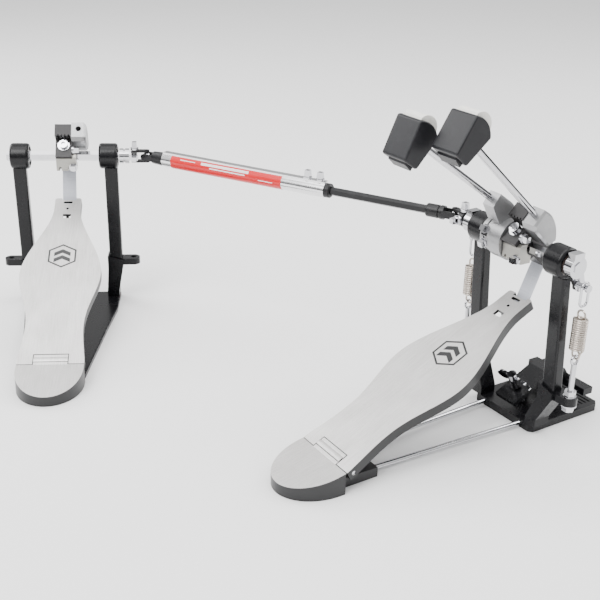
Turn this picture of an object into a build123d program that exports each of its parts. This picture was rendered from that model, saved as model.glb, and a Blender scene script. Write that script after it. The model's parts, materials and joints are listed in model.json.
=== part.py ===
"""Double bass drum pedal: a primary pedal with two beaters, an auxiliary pedal, and the
telescopic shaft with two universal joints that drives the left beater from the auxiliary pedal.

Frame: origin at the centre of the primary base plate's underside, +X to the player's right
along the primary axle, +Y away from the player towards the drum, +Z up. Millimetres.
Each pedal is modelled on its own floor line under its axle, then placed.
"""

import os
from math import acos, asin, cos, degrees, hypot, radians, sin, tan

from build123d import *

# ---- driving dimensions shared by both pedals -------------------------------------------
AXLE_HEIGHT = 180.0
AXLE_FLATS = 10.0            # hexagonal axle, across flats
JOURNAL_RADIUS = 6.0         # round stretch of the axle inside each bearing
BEARING_RADIUS = 10.5
HOUSING_RADIUS = 14.5
HOUSING_INNER = 39.0         # housing runs from here to HOUSING_OUTER, each side
HOUSING_OUTER = 60.0
POST_INNER = 44.0
POST_WIDTH = 15.0
POST_DEPTH = 10.0
POST_LEAN = 4.0              # degrees, top leans to the player
POST_FOOT_Y = 9.0            # middle of the post where it meets the ear
EAR_TOP = 52.6
EAR_THICKNESS = 7.6
SPRING_X = 72.0
SPRING_Y = 10.0

BOARD_LENGTH = 242.0
BOARD_ANGLE = 26.0
BOARD_DEPTH = 9.5
BOARD_SKIN = 3.0
BOARD_RIM = 3.5
BOARD_HEEL_HALF = 34.0
BOARD_WAIST_HALF = 30.3
BOARD_WIDEST_HALF = 43.8
BOARD_NECK_HALF = 15.0
BOARD_WAIST_AT = 57.0
BOARD_WIDEST_AT = 125.0
NECK_LENGTH = 18.0
HINGE_Y = -210.0
HINGE_Z = 21.0
HEEL_LENGTH = 50.0
HEEL_SLOPE = 12.0
TONGUE_HALF = 17.3
TONGUE_REACH = 12.4
HINGE_PIN_AT = 6.0           # along the board from its rear edge
HINGE_PIN_DEPTH = 5.5        # below the board's top face
HINGE_PIN_RADIUS = 2.0

CAM_RADIUS = 30.0
CAM_INNER = -8.0
CAM_WIDTH = 18.0
HOLDER_WIDTH = 16.0
STRAP_WIDTH = 15.5
STRAP_THICKNESS = 1.0
STRAP_X = 1.0
STRAP_PIN_AT = 238.5
STRAP_PIN_DEPTH = 7.2
BOLT_X = 1.0
BOLT_OUT = 5.0               # clamp bolt's axis to the axle, towards the drum
HUB_BOLT_RADIUS = 2.8
WASHER_RADIUS = 6.6
KEY_SHANK_RADIUS = 2.6
SHAFT_RADIUS = 3.2           # beater shaft
SHAFT_OFFSET = 21.0          # beater shaft axis to axle axis
SOCKET_TOP = 27.0            # holder's end, measured along the beater from the axle
HOLDER_BACK = 29.0           # holder's drum-side face, from the axle
BLOCK_STEP = 17.0            # cam block's lower step, from the axle
BLOCK_TOP = 28.0
SOCKET_DEPTH = 26.0

# ---- primary pedal ------------------------------------------------------------------------
RIGHT_TILT = 47.8            # beater shaft back from vertical, degrees
LEFT_TILT = 55.3
BEATER_REACH = 165.0         # axle axis to the head's far end, along the shaft
LEFT_REACH = 171.0
LEFT_SOCKET_TOP = 38.0
HEAD_HEIGHT = 26.5           # along the shaft
HEAD_WIDTH = 32.0
PANEL_WIDTH = 23.0           # raised panel on the head's rear face
PANEL_PROUD = 3.0
FELT_WIDTH = 24.0
FELT_PROUD = 6.5
LEFT_HUB_RADIUS = 19.5
LEFT_HUB_INNER = -9.0
LEFT_HUB_SPLIT = -24.5
LEFT_HUB_OUTER = -37.5
LEFT_BEATER_X = -24.0
AXLE_SPLIT = -19.0           # primary axle ends inside the left hub here
BASE_HALF = 40.0
BASE_FRONT = 92.0
BASE_THICKNESS = 8.0
JAW_THICKNESS = 5.0
JAW_HALF = 13.0              # half width of the jaw's arm
JAW_REAR_Y = 3.0
JAW_REAR_Z = 17.0
JAW_KNEE = 46.0
JAW_NOSE = 66.0
JAW_TOP = 38.0               # middle of the arm's thickness over its level stretch
CLAW_HALF = 38.0
CLAW_Y = 76.0
CLAW_Z = 24.0
CLAW_DEPTH = 12.0
CLAW_HEIGHT = 7.0
PIVOT_Y = 44.0               # jaw pin
PIVOT_Z = 25.0
LUG_X = 17.0
FOOT_INNER = 31.0            # inner edge of each upright's foot on the base plate
JAW_PIN_RADIUS = 2.0
SCREW_Y = 17.4               # wing screw axis where it meets the jaw's top face
SCREW_LEAN = 28.0
SCREW_RADIUS = 3.0
ROD_RADIUS = 2.5
LEVER_THICKNESS = 4.0
LEVER_X = 62.0
LEVER_PIN_DROP = 19.5
LEVER_PIN_RADIUS = 2.5
COIL_RADIUS = 6.1
COIL_WIRE = 0.9
COIL_TURNS = 15
COIL_PITCH = 2.05
EYE_Z = 90.0
RING_RADIUS = 4.2
LINK_HALF = 4.5
LINK_WIRE = 1.2
BOLT_RADIUS = 2.6

# ---- auxiliary pedal and drive linkage ----------------------------------------------------
AUX_X = -469.07
AUX_Y = -259.66
AUX_TURN = 62.63
AUX_TILT = 50.0
AUX_PLATE = 5.0
AUX_PLATE_HALF = 54.5
CROSS_X = 92.5               # universal joint centres, along each axle
PIN_RADIUS = 1.8
SPIDER_RADIUS = 4.3
EAR_INNER = 4.7              # yoke ears lie between these distances from the joint's centre
EAR_OUTER = 7.0
EAR_ROUND = 3.5
FORK_DEPTH = 11.0
BARREL_RADIUS = 6.8
BARREL_END = 30.0
ROD_FLATS = 8.0
ROD_TO = 270.0
TUBE_RADIUS = 8.2
TUBE_FROM = 144.0
TUBE_TO = 352.0
CAP_LENGTH = 6.0

RUN = 0.05                   # radial running clearance of pins and journals
GAP = 0.3                    # between faces of pieces that move past each other

# ---- derived places -----------------------------------------------------------------------
base_middle = BASE_FRONT / 2
primary_place = Location((0, -base_middle, 0))
aux_place = Location((AUX_X, AUX_Y - base_middle, 0), (0, 0, AUX_TURN))
near_cross = Vector(-CROSS_X, -base_middle, AXLE_HEIGHT)
far_cross = (aux_place * Location((CROSS_X, 0, AXLE_HEIGHT))).position
link_run = far_cross - near_cross
link_length = link_run.length
link_turn = degrees(acos(link_run.X / link_length)) * (1 if link_run.Y > 0 else -1)
link_place = Location(near_cross, (0, 0, link_turn))
board_plane = Plane(
    origin=(0, HINGE_Y, HINGE_Z),
    x_dir=(1, 0, 0),
    z_dir=(0, -sin(radians(BOARD_ANGLE)), cos(radians(BOARD_ANGLE))),
)


def board_point(along, depth):
    """Point on the pedal's middle plane, along the board and below its top face."""
    return board_plane.from_local_coords((0, along, -depth))


screw_up = Vector(0, -sin(radians(SCREW_LEAN)), cos(radians(SCREW_LEAN)))
screw_out = Vector(0, cos(radians(SCREW_LEAN)), sin(radians(SCREW_LEAN)))
screw_foot = Vector(0, SCREW_Y, 25.6)
link_low = EYE_Z + 2 * RING_RADIUS + COIL_PITCH * COIL_TURNS + 18.0
hinge_pin = board_point(HINGE_PIN_AT, HINGE_PIN_DEPTH)
strap_pin = board_point(STRAP_PIN_AT, STRAP_PIN_DEPTH)
strap_radius = CAM_RADIUS + GAP + STRAP_THICKNESS / 2
to_strap_pin = hypot(strap_pin.Y, AXLE_HEIGHT - strap_pin.Z)
strap_free = (to_strap_pin**2 - strap_radius**2) ** 0.5
strap_lean = asin(strap_radius / to_strap_pin) - asin(strap_pin.Y / to_strap_pin)


# ---- shape helpers, each adding to the part being built -----------------------------------
def bar(start, end, radius, mode=Mode.ADD):
    """Round bar between two points."""
    run = Vector(*end) - Vector(*start)
    with BuildSketch(Plane(origin=start, z_dir=run)) as section:
        Circle(radius)
    extrude(section.sketch, amount=run.length, mode=mode)


def hex_bar(start, end, flats, mode=Mode.ADD):
    """Hexagonal bar between two points, sized across its flats."""
    run = Vector(*end) - Vector(*start)
    with BuildSketch(Plane(origin=start, z_dir=run)) as section:
        RegularPolygon(flats / 2, 6, major_radius=False)
    extrude(section.sketch, amount=run.length, mode=mode)


def block(low, high, mode=Mode.ADD):
    """Box between two corners."""
    sizes = [b - a for a, b in zip(low, high)]
    middle = [(a + b) / 2 for a, b in zip(low, high)]
    with Locations(tuple(middle)):
        Box(*sizes, mode=mode)


def key_screw(foot, direction, head=9.0, shank=4.0):
    """Square-headed key screw: flange at foot, head standing along direction."""
    up = Vector(*direction).normalized()
    foot = Vector(*foot)
    bar(foot - up * shank, foot, KEY_SHANK_RADIUS)
    bar(foot, foot + up * 2.0, 4.6)
    with BuildSketch(Plane(origin=foot + up * 2.0, z_dir=up)) as square:
        Rectangle(6.0, 6.0)
    extrude(square.sketch, amount=head - 2.0, taper=4)


def hub_plane(x, tilt):
    """Plane across the axle at x: its x axis points to the drum side, its y axis up the beater."""
    lean = radians(tilt)
    return Plane(origin=(x, 0, AXLE_HEIGHT), x_dir=(0, cos(lean), sin(lean)), z_dir=(1, 0, 0))


def hub_point(x, out, up, tilt):
    """Point given by its distance to the drum side and up the beater, from the axle axis."""
    return hub_plane(x, tilt).from_local_coords((out, up, 0))


def keep(name, piece, place):
    """Place a finished piece, label it and write it."""
    placed = piece.moved(place)
    placed.label = name
    export_step(placed, f"parts/{name}.step")


# ---- pieces that both pedals have ---------------------------------------------------------
def make_upright(foot_out, foot_in, foot_z, bolt_hole):
    """Right-hand upright: leaning post, spring ear and foot, cast in one."""
    lean = tan(radians(POST_LEAN))
    top_y = POST_FOOT_Y - (AXLE_HEIGHT - EAR_TOP) * lean
    half = POST_DEPTH / 2
    post_outer = POST_INNER + POST_WIDTH
    ear_low = EAR_TOP - EAR_THICKNESS
    ear_round = 7.5
    with BuildPart() as upright:
        with BuildSketch(Plane.YZ.offset(POST_INNER)):
            Polygon(
                (POST_FOOT_Y - half - 1, ear_low),
                (POST_FOOT_Y + half + 1, ear_low),
                (top_y + half, AXLE_HEIGHT),
                (top_y - half, AXLE_HEIGHT),
                align=None,
            )
        extrude(amount=POST_WIDTH)
        fillet(upright.edges().filter_by(lambda e: abs(e.tangent_at(0.5).Z) > 0.9), 2.0)
        with BuildSketch(Plane.XY.offset(ear_low)):
            with Locations(((post_outer + SPRING_X) / 2, SPRING_Y)):
                Rectangle(SPRING_X - post_outer + 6, 2 * ear_round)
            with Locations((SPRING_X, SPRING_Y)):
                Circle(ear_round)
            with Locations((SPRING_X, SPRING_Y)):
                Circle(bolt_hole, mode=Mode.SUBTRACT)
        extrude(amount=EAR_THICKNESS)
        with BuildSketch(Plane.XZ.offset(-(POST_FOOT_Y + 9))):
            Polygon(
                (POST_INNER - 2, EAR_TOP + 4),
                (post_outer + 1, EAR_TOP - 1),
                (post_outer + 1, ear_low),
                (foot_out, foot_z + 8),
                (foot_out, foot_z),
                (foot_in, foot_z),
                (foot_in, foot_z + 8),
                (POST_INNER - 2, ear_low - 4),
                align=None,
            )
        extrude(amount=18)
        bar((HOUSING_INNER, 0, AXLE_HEIGHT), (HOUSING_OUTER, 0, AXLE_HEIGHT), HOUSING_RADIUS, Mode.SUBTRACT)
    return upright.part


def make_housings():
    """The two bearing housings: rounded barrels with a stepped bore."""
    with BuildPart() as housings:
        for side in (-1, 1):
            with BuildSketch(Plane.YZ.offset(side * HOUSING_INNER)):
                with Locations((0, AXLE_HEIGHT)):
                    Circle(HOUSING_RADIUS)
            extrude(amount=side * (HOUSING_OUTER - HOUSING_INNER))
        fillet(housings.edges().filter_by(GeomType.CIRCLE), 3.0)
        for side in (-1, 1):
            bar(
                (side * (HOUSING_INNER - 1), 0, AXLE_HEIGHT),
                (side * (HOUSING_OUTER + 1), 0, AXLE_HEIGHT),
                BEARING_RADIUS,
                Mode.SUBTRACT,
            )
    return housings.part


def make_bearings():
    """Ball bearings with their shields, one in each housing."""
    with BuildPart() as bearings:
        for side in (-1, 1):
            inner = side * (HOUSING_INNER + 1.2)
            outer = side * (HOUSING_OUTER - 0.8)
            bar((inner, 0, AXLE_HEIGHT), (outer, 0, AXLE_HEIGHT), BEARING_RADIUS)
            for face in (inner, outer):
                away = 1 if face == outer else -1
                deep = face - side * away * 0.7
                bar((deep, 0, AXLE_HEIGHT), (face, 0, AXLE_HEIGHT), BEARING_RADIUS - 1.6, Mode.SUBTRACT)
                bar((deep, 0, AXLE_HEIGHT), (face, 0, AXLE_HEIGHT), JOURNAL_RADIUS + 1.3)
            bar((inner, 0, AXLE_HEIGHT), (outer, 0, AXLE_HEIGHT), JOURNAL_RADIUS + RUN, Mode.SUBTRACT)
    return bearings.part


def make_footboard():
    """Cast footboard: thin skin, side skirts, ribs below, heel notch and strap end."""
    notch_half = TONGUE_HALF + GAP
    rear = 0.6
    with BuildPart() as board:
        with BuildSketch(board_plane):
            with BuildLine():
                side = Spline(
                    (BOARD_HEEL_HALF, rear),
                    (BOARD_WAIST_HALF, BOARD_WAIST_AT),
                    (BOARD_WIDEST_HALF, BOARD_WIDEST_AT),
                    (BOARD_NECK_HALF, BOARD_LENGTH - NECK_LENGTH),
                    tangents=[(0, 1), (0, 1)],
                    tangent_scalars=[0.6, 0.9],
                )
                Line(side @ 1, (BOARD_NECK_HALF, BOARD_LENGTH))
                Line((BOARD_NECK_HALF, BOARD_LENGTH), (0, BOARD_LENGTH))
                Line((0, rear), side @ 0)
                mirror(about=Plane.YZ)
            make_face()
            with Locations((0, TONGUE_REACH / 2)):
                Rectangle(2 * notch_half, TONGUE_REACH + 2 * GAP, mode=Mode.SUBTRACT)
        extrude(amount=-BOARD_DEPTH)
        upright_edges = board.edges().filter_by(Axis(board_plane.origin, board_plane.z_dir))
        fillet(upright_edges.sort_by(Axis(board_plane.origin, board_plane.y_dir))[-2:], 2.5)
        with BuildSketch(board_plane.offset(-BOARD_DEPTH)):
            with BuildLine():
                wall = Spline(
                    (BOARD_HEEL_HALF - BOARD_RIM, 22),
                    (BOARD_WAIST_HALF - BOARD_RIM, BOARD_WAIST_AT),
                    (BOARD_WIDEST_HALF - BOARD_RIM, BOARD_WIDEST_AT),
                    (BOARD_NECK_HALF - BOARD_RIM, BOARD_LENGTH - NECK_LENGTH - 2),
                    tangents=[(0, 1), (0, 1)],
                    tangent_scalars=[0.5, 0.9],
                )
                Line(wall @ 1, (0, BOARD_LENGTH - NECK_LENGTH - 2))
                Line((0, 22), wall @ 0)
                mirror(about=Plane.YZ)
            make_face()
            with Locations((0, BOARD_LENGTH / 2)):
                Rectangle(BOARD_SKIN, BOARD_LENGTH, mode=Mode.SUBTRACT)
            with GridLocations(0, 44, 1, 4):
                with Locations((0, BOARD_LENGTH / 2)):
                    Rectangle(4 * BOARD_WIDEST_HALF, BOARD_SKIN, mode=Mode.SUBTRACT)
        extrude(amount=BOARD_DEPTH - BOARD_SKIN, mode=Mode.SUBTRACT)
        with BuildSketch(board_plane):
            with Locations((0, 235.0)):
                SlotOverall(10.5, 3.2)
            with Locations((0, 225.0)):
                Circle(1.5)
            with Locations((0, 212.5)):
                Rectangle(9.0, 6.5)
        extrude(amount=-BOARD_DEPTH, mode=Mode.SUBTRACT)
        with BuildSketch(board_plane.offset(-BOARD_SKIN)):
            with Locations((STRAP_X, BOARD_LENGTH)):
                Rectangle(STRAP_WIDTH + 4 * GAP, 22)
        extrude(amount=-BOARD_DEPTH, mode=Mode.SUBTRACT)
        with BuildSketch(board_plane):
            with Locations((STRAP_X, BOARD_LENGTH)):
                Rectangle(STRAP_WIDTH + 4 * GAP, 6.6)
        extrude(amount=-BOARD_DEPTH, mode=Mode.SUBTRACT)
        bar(
            (-BOARD_WIDEST_HALF, hinge_pin.Y, hinge_pin.Z),
            (BOARD_WIDEST_HALF, hinge_pin.Y, hinge_pin.Z),
            HINGE_PIN_RADIUS + RUN,
            Mode.SUBTRACT,
        )
        bar(
            (-BOARD_NECK_HALF + 1, strap_pin.Y, strap_pin.Z),
            (BOARD_NECK_HALF - 1, strap_pin.Y, strap_pin.Z),
            HINGE_PIN_RADIUS - 0.4,
        )
    return board.part


def make_heel_plate(tab_underside, has_rods):
    """Heel plate: sloping top with an elliptical rear edge, hinge tongue and front tab."""
    front = HINGE_Y - 0.4
    slope = radians(HEEL_SLOPE)
    with BuildPart() as heel:
        with BuildSketch():
            with BuildLine():
                straight = Line((BOARD_HEEL_HALF, front), (BOARD_HEEL_HALF, front - 6))
                EllipticalCenterArc(
                    (0, front - 6), BOARD_HEEL_HALF, HEEL_LENGTH - 6.4, start_angle=270, arc_size=90
                )
                Line((0, front), straight @ 0)
                mirror(about=Plane.YZ)
            make_face()
        extrude(amount=HINGE_Z + 4)
        split(bisect_by=Plane((0, front, HINGE_Z), z_dir=(0, -sin(slope), cos(slope))), keep=Keep.BOTTOM)
        block((-TONGUE_HALF - 8, front - 4, tab_underside), (TONGUE_HALF + 8, HINGE_Y + 40, 9.5))
        with BuildSketch(Plane.YZ.offset(-TONGUE_HALF)):
            top_rear = board_point(0, 0)
            top_front = board_point(TONGUE_REACH, 0)
            ahead = board_point(TONGUE_REACH, HINGE_PIN_DEPTH)
            Polygon(
                (front - 1, HINGE_Z - 1.0),
                (top_rear.Y, top_rear.Z),
                (top_front.Y, top_front.Z),
                (ahead.Y, ahead.Z),
                (hinge_pin.Y, hinge_pin.Z),
                (hinge_pin.Y, 9.0),
                (front - 1, 9.0),
                align=None,
            )
            with Locations((hinge_pin.Y, hinge_pin.Z)):
                Circle(TONGUE_REACH - HINGE_PIN_AT - 0.1)
        extrude(amount=2 * TONGUE_HALF)
        bar(
            (-TONGUE_HALF - 1, hinge_pin.Y, hinge_pin.Z),
            (TONGUE_HALF + 1, hinge_pin.Y, hinge_pin.Z),
            HINGE_PIN_RADIUS,
            Mode.SUBTRACT,
        )
        if has_rods:
            for side in (-1, 1):
                bar(*radius_rod_run(side), ROD_RADIUS, Mode.SUBTRACT)
    return heel.part


def make_hinge_pin():
    """Hinge pin through the tongue and the footboard's rear cheeks."""
    half = BOARD_HEEL_HALF - 1.0
    with BuildPart() as pin:
        bar((-half, hinge_pin.Y, hinge_pin.Z), (half, hinge_pin.Y, hinge_pin.Z), HINGE_PIN_RADIUS)
    return pin.part


def make_strap():
    """Straight stretch of the drive strap with its lower eye, from board pin to cam tangent."""
    direction = (0, sin(strap_lean), cos(strap_lean))
    inner = HINGE_PIN_RADIUS - 0.4 + RUN
    with BuildPart() as strap:
        with BuildSketch(
            Plane(origin=(STRAP_X, strap_pin.Y, strap_pin.Z), x_dir=(1, 0, 0), z_dir=direction)
        ) as section:
            Rectangle(STRAP_WIDTH, STRAP_THICKNESS)
        extrude(amount=strap_free)
        left = STRAP_X - STRAP_WIDTH / 2
        eye = ((left, strap_pin.Y, strap_pin.Z), (left + STRAP_WIDTH, strap_pin.Y, strap_pin.Z))
        bar(*eye, inner + STRAP_THICKNESS)
        bar(*eye, inner, Mode.SUBTRACT)
    return strap.part


def make_cam(tilt):
    """Strap cam: round on the drum side, stepped block in front, on the hexagonal axle."""
    with BuildPart() as cam:
        with BuildSketch(hub_plane(CAM_INNER, tilt)):
            Circle(CAM_RADIUS)
            with Locations((-CAM_RADIUS, 0)):
                Rectangle(2 * CAM_RADIUS - 6, 3 * CAM_RADIUS, mode=Mode.SUBTRACT)
            with Locations((12 - CAM_RADIUS, BLOCK_STEP + CAM_RADIUS / 2)):
                Rectangle(2 * CAM_RADIUS, CAM_RADIUS, mode=Mode.SUBTRACT)
            Circle(13.0)
            Polygon((-9, 6), (12, 2), (12, BLOCK_STEP), (-9, BLOCK_STEP), align=None)
            Polygon((9, 0), (28, 0), (26, BLOCK_TOP), (12, BLOCK_TOP), (12, 14), align=None)
        extrude(amount=CAM_WIDTH)
        for step in range(4):
            groove = CAM_INNER + 3.2 + 3.8 * step
            with BuildSketch(hub_plane(groove, tilt)):
                with Locations((12.5, (BLOCK_STEP + BLOCK_TOP) / 2 + 1)):
                    Rectangle(2.0, BLOCK_TOP - BLOCK_STEP)
            extrude(amount=1.4, mode=Mode.SUBTRACT)
        hex_bar(
            (CAM_INNER - 1, 0, AXLE_HEIGHT),
            (CAM_INNER + CAM_WIDTH + 1, 0, AXLE_HEIGHT),
            AXLE_FLATS,
            Mode.SUBTRACT,
        )
        bar(
            hub_point(BOLT_X, BOLT_OUT, 6, tilt),
            hub_point(BOLT_X, BOLT_OUT, BLOCK_STEP + 1, tilt),
            HUB_BOLT_RADIUS,
            Mode.SUBTRACT,
        )
        side_face = CAM_INNER + CAM_WIDTH
        bar(
            hub_point(side_face - 1.5, 1, 14, tilt),
            hub_point(side_face + 1, 1, 14, tilt),
            KEY_SHANK_RADIUS,
            Mode.SUBTRACT,
        )
    return cam.part


def make_holder(tilt):
    """Beater holder: D-shaped casting beside the cam, with the beater's socket along it."""
    start = CAM_INNER + CAM_WIDTH
    middle = start + HOLDER_WIDTH / 2
    with BuildPart() as holder:
        with BuildSketch(hub_plane(start, tilt)):
            with BuildLine():
                down = Line((8, SOCKET_TOP - 5), (8, -3))
                low = Line(down @ 1, (17, -8))
                back = ThreePointArc(low @ 1, (HOLDER_BACK - 1, 6), (HOLDER_BACK, SOCKET_TOP - 3))
                Polyline(back @ 1, (HOLDER_BACK - 0.5, SOCKET_TOP), (11, SOCKET_TOP), down @ 0)
            make_face()
        extrude(amount=HOLDER_WIDTH)
        chamfer(holder.faces().sort_by(Axis.X)[-1].edges(), 2.0)
        bar(
            hub_point(middle, SHAFT_OFFSET, SOCKET_TOP - SOCKET_DEPTH, tilt),
            hub_point(middle, SHAFT_OFFSET, SOCKET_TOP + 1, tilt),
            SHAFT_RADIUS,
            Mode.SUBTRACT,
        )
    return holder.part


def make_cam_clamp(tilt):
    """Clamp body in front of the axle, with two slots below."""
    with BuildPart() as clamp:
        block((CAM_INNER, -15, AXLE_HEIGHT - 14), (CAM_INNER + CAM_WIDTH + 4, -1, AXLE_HEIGHT + 5))
        chamfer(clamp.edges().filter_by(Axis.X).group_by(Axis.Y)[0], 2.5)
        for x in (CAM_INNER + 3, CAM_INNER + 13):
            block((x, -20, AXLE_HEIGHT - 15), (x + 2.5, 0, AXLE_HEIGHT - 9), mode=Mode.SUBTRACT)
        with BuildSketch(hub_plane(CAM_INNER, tilt)):
            Circle(13.0)
            Polygon((-9, 6), (12, 2), (12, BLOCK_STEP), (-9, BLOCK_STEP), align=None)
        extrude(amount=CAM_WIDTH, mode=Mode.SUBTRACT)
        bar(
            (CAM_INNER + CAM_WIDTH, 0, AXLE_HEIGHT),
            (CAM_INNER + CAM_WIDTH + 5, 0, AXLE_HEIGHT),
            7.0,
            Mode.SUBTRACT,
        )
    return max(clamp.part.solids(), key=lambda solid: solid.volume)


def add_hub_screws(tilt):
    """Clamp bolt with its washer on the cam block's step, and the two key screws beside it."""
    washer = BLOCK_STEP + 1.5
    top = washer + 3.5
    bar(hub_point(BOLT_X, BOLT_OUT, 6, tilt), hub_point(BOLT_X, BOLT_OUT, BLOCK_STEP, tilt), HUB_BOLT_RADIUS)
    bar(
        hub_point(BOLT_X, BOLT_OUT, BLOCK_STEP, tilt),
        hub_point(BOLT_X, BOLT_OUT, washer, tilt),
        WASHER_RADIUS,
    )
    bar(
        hub_point(BOLT_X, BOLT_OUT, washer, tilt),
        hub_point(BOLT_X, BOLT_OUT, top, tilt),
        WASHER_RADIUS - 1.8,
    )
    hex_bar(
        hub_point(BOLT_X, BOLT_OUT, top - 2, tilt),
        hub_point(BOLT_X, BOLT_OUT, top, tilt),
        4.6,
        Mode.SUBTRACT,
    )
    key_screw(hub_point(CAM_INNER + CAM_WIDTH, 1, 14, tilt), (1, 0, 0), head=7.5, shank=1.5)
    key_screw((CAM_INNER + CAM_WIDTH + 1, -15, AXLE_HEIGHT - 9), (0, -1, 0), head=7.0, shank=1.5)


def make_base_frame(prefix, place, tab_underside, feet, has_rods):
    """Write the pieces that stand still on either pedal."""
    upright = make_upright(*feet, BOLT_RADIUS + 0.4)
    keep(f"{prefix}_upright_right", upright, place)
    keep(f"{prefix}_upright_left", upright.mirror(Plane.YZ), place)
    keep(f"{prefix}_bearing_housings", make_housings(), place)
    keep(f"{prefix}_bearings", make_bearings(), place)
    keep(f"{prefix}_heel_plate", make_heel_plate(tab_underside, has_rods), place)
    keep(f"{prefix}_hinge_pin", make_hinge_pin(), place)
    keep(f"{prefix}_footboard", make_footboard(), place)
    keep(f"{prefix}_strap", make_strap(), place)


def make_axle_yoke(side):
    """Fork on an axle's end: sleeve over the hexagon and two ears about the joint's centre."""
    inner = CROSS_X - FORK_DEPTH - 6
    shoulder = CROSS_X - FORK_DEPTH
    with BuildPart() as yoke:
        bar((side * inner, 0, AXLE_HEIGHT), (side * shoulder, 0, AXLE_HEIGHT), EAR_OUTER + 0.6)
        for up in (-1, 1):
            low, high = sorted((AXLE_HEIGHT + up * EAR_INNER, AXLE_HEIGHT + up * EAR_OUTER))
            x_low, x_high = sorted((side * (shoulder - 1), side * CROSS_X))
            block((x_low, -EAR_ROUND, low), (x_high, EAR_ROUND, high))
            bar((side * CROSS_X, 0, low), (side * CROSS_X, 0, high), EAR_ROUND)
        bar(
            (side * CROSS_X, 0, AXLE_HEIGHT - EAR_OUTER - 0.5),
            (side * CROSS_X, 0, AXLE_HEIGHT + EAR_OUTER + 0.5),
            PIN_RADIUS,
        )
        bar(
            (side * CROSS_X, 0, AXLE_HEIGHT - SPIDER_RADIUS - GAP),
            (side * CROSS_X, 0, AXLE_HEIGHT + SPIDER_RADIUS + GAP),
            PIN_RADIUS + 1,
            Mode.SUBTRACT,
        )
        hex_bar((side * inner, 0, AXLE_HEIGHT), (side * (shoulder - 1), 0, AXLE_HEIGHT), AXLE_FLATS,
                Mode.SUBTRACT)
    return yoke.part


def make_spider():
    """Centre block of a universal joint, at the origin."""
    with BuildPart() as spider:
        Sphere(SPIDER_RADIUS)
    return spider.part


# ---- primary pedal ------------------------------------------------------------------------
def make_primary_base():
    """Base plate with the lower hoop jaw, chamfered corners and the jaw's pin lugs."""
    with BuildPart() as base:
        with BuildSketch() as outline:
            with Locations((0, base_middle)):
                Rectangle(2 * BASE_HALF, BASE_FRONT)
            chamfer(outline.vertices(), 4.0)
        extrude(amount=BASE_THICKNESS)
        for x in (-LUG_X, LUG_X):
            block((x - 3, PIVOT_Y - 6, BASE_THICKNESS - 1), (x + 3, PIVOT_Y + 6, PIVOT_Z + 4))
        with BuildSketch(Plane.XY.offset(BASE_THICKNESS)):
            with GridLocations(0, 5, 1, 4):
                with Locations((0, BASE_FRONT - 14)):
                    Rectangle(2 * BASE_HALF - 12, 2)
        extrude(amount=-1, mode=Mode.SUBTRACT)
        bar((-LUG_X - 6, PIVOT_Y, PIVOT_Z), (LUG_X + 6, PIVOT_Y, PIVOT_Z), JAW_PIN_RADIUS, Mode.SUBTRACT)
        for side in (-1, 1):
            bar(*radius_rod_run(side), ROD_RADIUS, Mode.SUBTRACT)
    return base.part


def radius_rod_run(side):
    """Ends of one radius rod, from the heel tab into the base plate's rear edge."""
    return (side * 17.0, HINGE_Y + 22, 4.7), (side * 25.5, 14, 4.2)


def make_jaw():
    """Upper hoop jaw: bent arm under the wing screw, with a wide claw over the hoop."""
    with BuildPart() as jaw:
        with BuildSketch(Plane.YZ.offset(-JAW_HALF)):
            with BuildLine():
                Polyline((JAW_REAR_Y, JAW_REAR_Z), (JAW_KNEE, JAW_TOP), (JAW_NOSE, JAW_TOP), (CLAW_Y, CLAW_Z))
            trace(line_width=JAW_THICKNESS)
        extrude(amount=2 * JAW_HALF)
        block(
            (-CLAW_HALF, CLAW_Y - CLAW_DEPTH / 2, CLAW_Z - CLAW_HEIGHT / 2),
            (CLAW_HALF, CLAW_Y + CLAW_DEPTH / 2, CLAW_Z + CLAW_HEIGHT / 2),
        )
        block((-JAW_HALF, PIVOT_Y - 4, PIVOT_Z - 4), (JAW_HALF, PIVOT_Y + 4, JAW_TOP))
        bar((-LUG_X, PIVOT_Y, PIVOT_Z), (LUG_X, PIVOT_Y, PIVOT_Z), JAW_PIN_RADIUS + RUN, Mode.SUBTRACT)
        bar(screw_foot - screw_up * 20, screw_foot + screw_up * 40, SCREW_RADIUS + 1.2, Mode.SUBTRACT)
    return jaw.part


def make_wing_screw():
    """Wing screw: shank into the base plate, hub and two flat wings."""
    tip = screw_foot - screw_up * 18.0
    top = screw_foot + screw_up * 21.0
    with BuildPart() as screw:
        bar(tip, top, SCREW_RADIUS)
        bar(screw_foot + screw_up * 3.6, top, 4.6)
        wings = Plane(origin=screw_foot + screw_up * 15.0, x_dir=(1, 0, 0), z_dir=screw_out)
        with BuildSketch(wings):
            for side in (-1, 1):
                with Locations((side * 13, 2.0)):
                    Ellipse(9.0, 4.4, rotation=side * 14)
        extrude(amount=1.5, both=True)
    return screw.part


def make_primary_axle():
    """Right-hand hexagonal axle: journal in the right bearing, round nose inside the left hub."""
    with BuildPart() as axle:
        hex_bar((AXLE_SPLIT + 8, 0, AXLE_HEIGHT), (LEVER_X + 9, 0, AXLE_HEIGHT), AXLE_FLATS)
        bar((HOUSING_INNER, 0, AXLE_HEIGHT), (HOUSING_OUTER + 1, 0, AXLE_HEIGHT), JOURNAL_RADIUS)
        bar((AXLE_SPLIT, 0, AXLE_HEIGHT), (AXLE_SPLIT + 9, 0, AXLE_HEIGHT), 4.6)
    return axle.part


def make_stub_axle():
    """Left-hand hexagonal axle: from the left hub through the left bearing to its yoke."""
    with BuildPart() as axle:
        hex_bar((AXLE_SPLIT - 2, 0, AXLE_HEIGHT), (-CROSS_X + FORK_DEPTH + 1, 0, AXLE_HEIGHT), AXLE_FLATS)
        bar((-HOUSING_INNER, 0, AXLE_HEIGHT), (-HOUSING_OUTER - 1, 0, AXLE_HEIGHT), JOURNAL_RADIUS)
    return axle.part


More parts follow.
